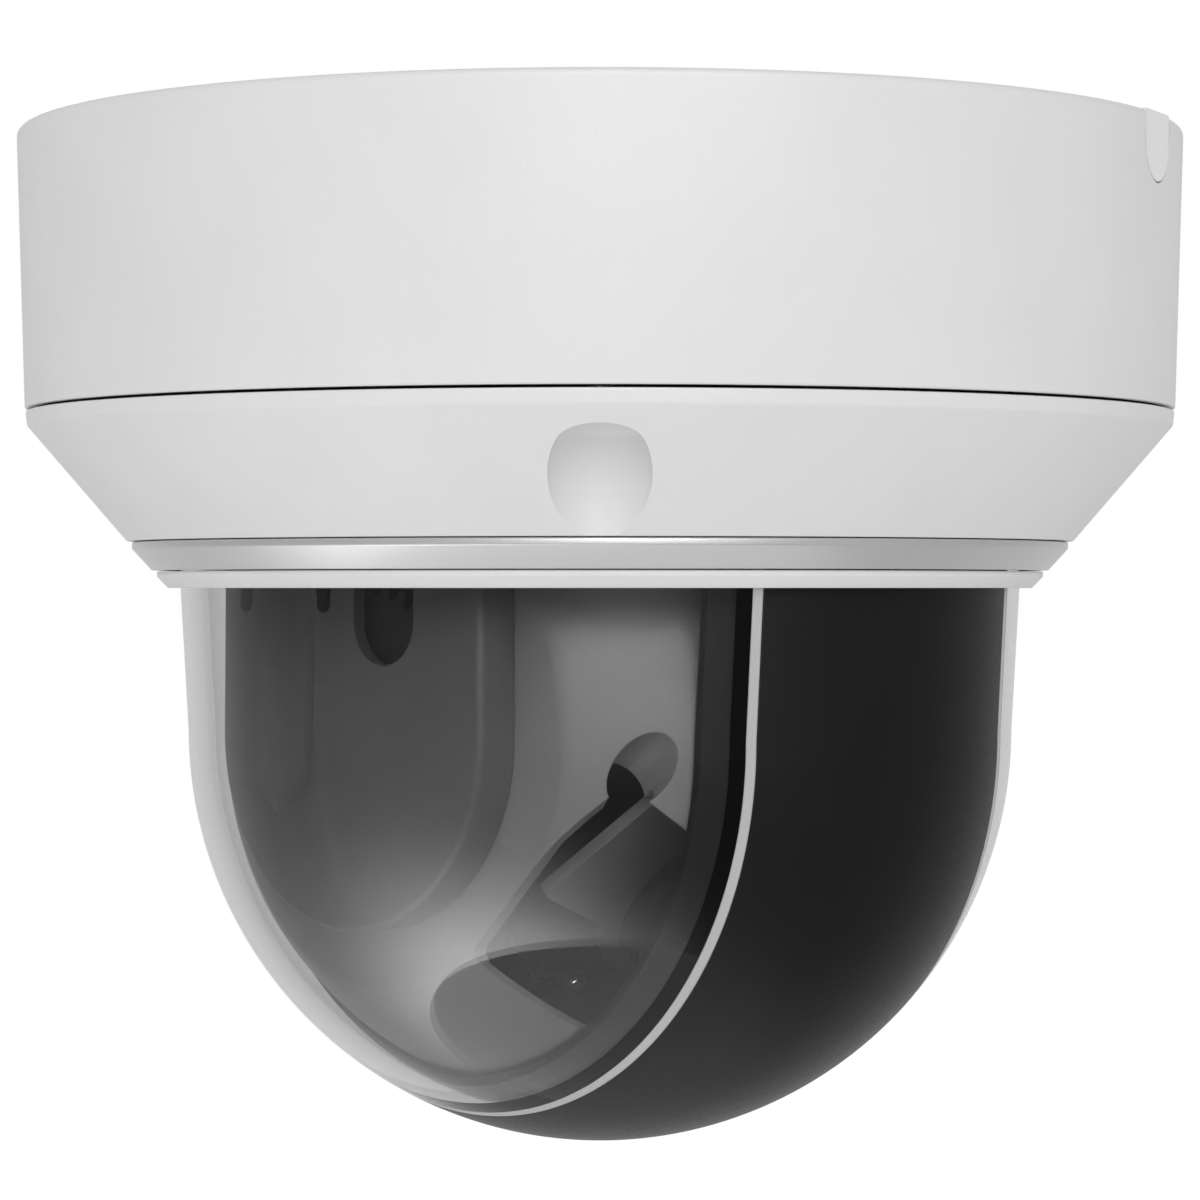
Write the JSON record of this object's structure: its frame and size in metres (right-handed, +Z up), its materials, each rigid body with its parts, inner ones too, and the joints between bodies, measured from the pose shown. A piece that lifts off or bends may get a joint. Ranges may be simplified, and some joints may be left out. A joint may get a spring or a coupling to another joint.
{
  "type": "security camera",
  "caption": "Ceiling dome camera with a round base, conical cover, metal trim ring and a panning dark-banded dome with clear sides around a tilting lens block.",
  "frame": {"origin": "centre of the mounting plate's ceiling face", "axes": "+Z up into the ceiling, which is the pan axis; -Y is the front of the fixed base, where a cover screw pocket is; the dome is panned 45 degrees from it towards +X at rest"},
  "size_m": [0.16, 0.16, 0.1382],
  "materials": {
    "white_paint": "fine powder-coated off-white",
    "black_shell": "satin smoked black",
    "clear_cover": "clear polished",
    "rim_grey": "satin light grey",
    "dark_plastic": "fine spark-eroded texture",
    "black_plastic": "satin",
    "steel": "zinc plated",
    "aluminium": "satin turned",
    "rubber": "matt",
    "circuit_board": "solder mask",
    "acetal": "natural acetal"
  },
  "bodies": {
    "base": {"mounting_plate": "steel", "mount_screw_1": "steel", "mount_screw_2": "steel", "mount_screw_3": "steel", "base_housing": "white_paint", "cable_notch_plug": "white_paint", "cable_grommet": "rubber", "base_gasket": "rubber", "lower_housing": "white_paint", "cover_screw_1": "steel", "cover_screw_2": "steel", "cover_screw_3": "steel", "trim_ring": "aluminium", "lip_ring": "white_paint", "main_board": "circuit_board", "network_jack": "steel", "power_terminal": "black_plastic", "reset_switch": "black_plastic", "pan_chassis": "dark_plastic", "chassis_screw_1": "steel", "chassis_screw_2": "steel", "chassis_screw_3": "steel", "pan_motor": "steel", "bearing_outer_race": "steel", "slip_ring_stator": "black_plastic"},
    "pan_head": {"bearing_inner_race": "steel", "slip_ring_rotor": "rim_grey", "hub_clip": "steel", "turntable": "dark_plastic", "pan_gear": "acetal", "centre_shell": "black_shell", "window_rim_left": "rim_grey", "side_window_left": "clear_cover", "window_rim_right": "rim_grey", "side_window_right": "clear_cover", "yoke_shell_left": "dark_plastic", "side_pod_left": "dark_plastic", "tilt_bush_left": "acetal", "yoke_shell_right": "dark_plastic", "side_pod_right": "dark_plastic", "tilt_bush_right": "acetal", "tilt_motor": "steel"},
    "pan_drive": {"pan_pinion": "acetal"},
    "camera_head": {"tilt_gear": "acetal", "camera_body": "dark_plastic", "camera_rear_cover": "dark_plastic", "sensor_board": "circuit_board", "lens_barrel": "black_plastic", "front_glass": "clear_cover", "front_bezel": "dark_plastic", "guide_rod_1": "steel", "guide_rod_2": "steel", "trunnion_left": "steel", "trunnion_right": "steel"},
    "tilt_drive": {"tilt_pinion": "acetal"},
    "zoom_group": {"zoom_carriage": "black_plastic"},
    "focus_group": {"focus_carriage": "black_plastic"},
    "filter_slide": {"ir_cut_filter": "clear_cover"},
    "reset": {"reset_button": "rim_grey"}
  },
  "joints": [
    {"name": "pan", "type": "hinge", "parent": "base", "child": "pan_head", "pos_m": [0, 0, -0.0815], "axis": [0, 0, 1], "continuous": true},
    {"name": "pan_drive_spin", "type": "hinge", "parent": "base", "child": "pan_drive", "pos_m": [-0.02839, 0.04055, -0.043], "axis": [0, 0, 1], "continuous": true},
    {"name": "tilt", "type": "hinge", "parent": "pan_head", "child": "camera_head", "pos_m": [0, 0, -0.0815], "axis": [0.7071, 0.7071, 0], "range_deg": [-45, 45]},
    {"name": "tilt_drive_spin", "type": "hinge", "parent": "pan_head", "child": "tilt_drive", "pos_m": [-0.00884, 0.00884, -0.05985], "axis": [0.7071, 0.7071, 0], "range_deg": [-181, 181]},
    {"name": "zoom", "type": "slide", "parent": "camera_head", "child": "zoom_group", "axis": [0.5, -0.5, -0.7071], "range_m": [-0.006, 0.012]},
    {"name": "focus", "type": "slide", "parent": "camera_head", "child": "focus_group", "axis": [0.5, -0.5, -0.7071], "range_m": [-0.004, 0.003]},
    {"name": "filter_shift", "type": "slide", "parent": "camera_head", "child": "filter_slide", "axis": [0.7071, 0.7071, 0], "range_m": [0, 0.009]},
    {"name": "reset_press", "type": "slide", "parent": "base", "child": "reset", "axis": [0, 0, 1], "range_m": [0, 0.0006], "stiffness_N_per_m": 300}
  ],
  "couplings": [
    {"joint": "pan_drive_spin", "follows": "pan", "ratio": -4.5},
    {"joint": "tilt_drive_spin", "follows": "tilt", "ratio": -4}
  ]
}
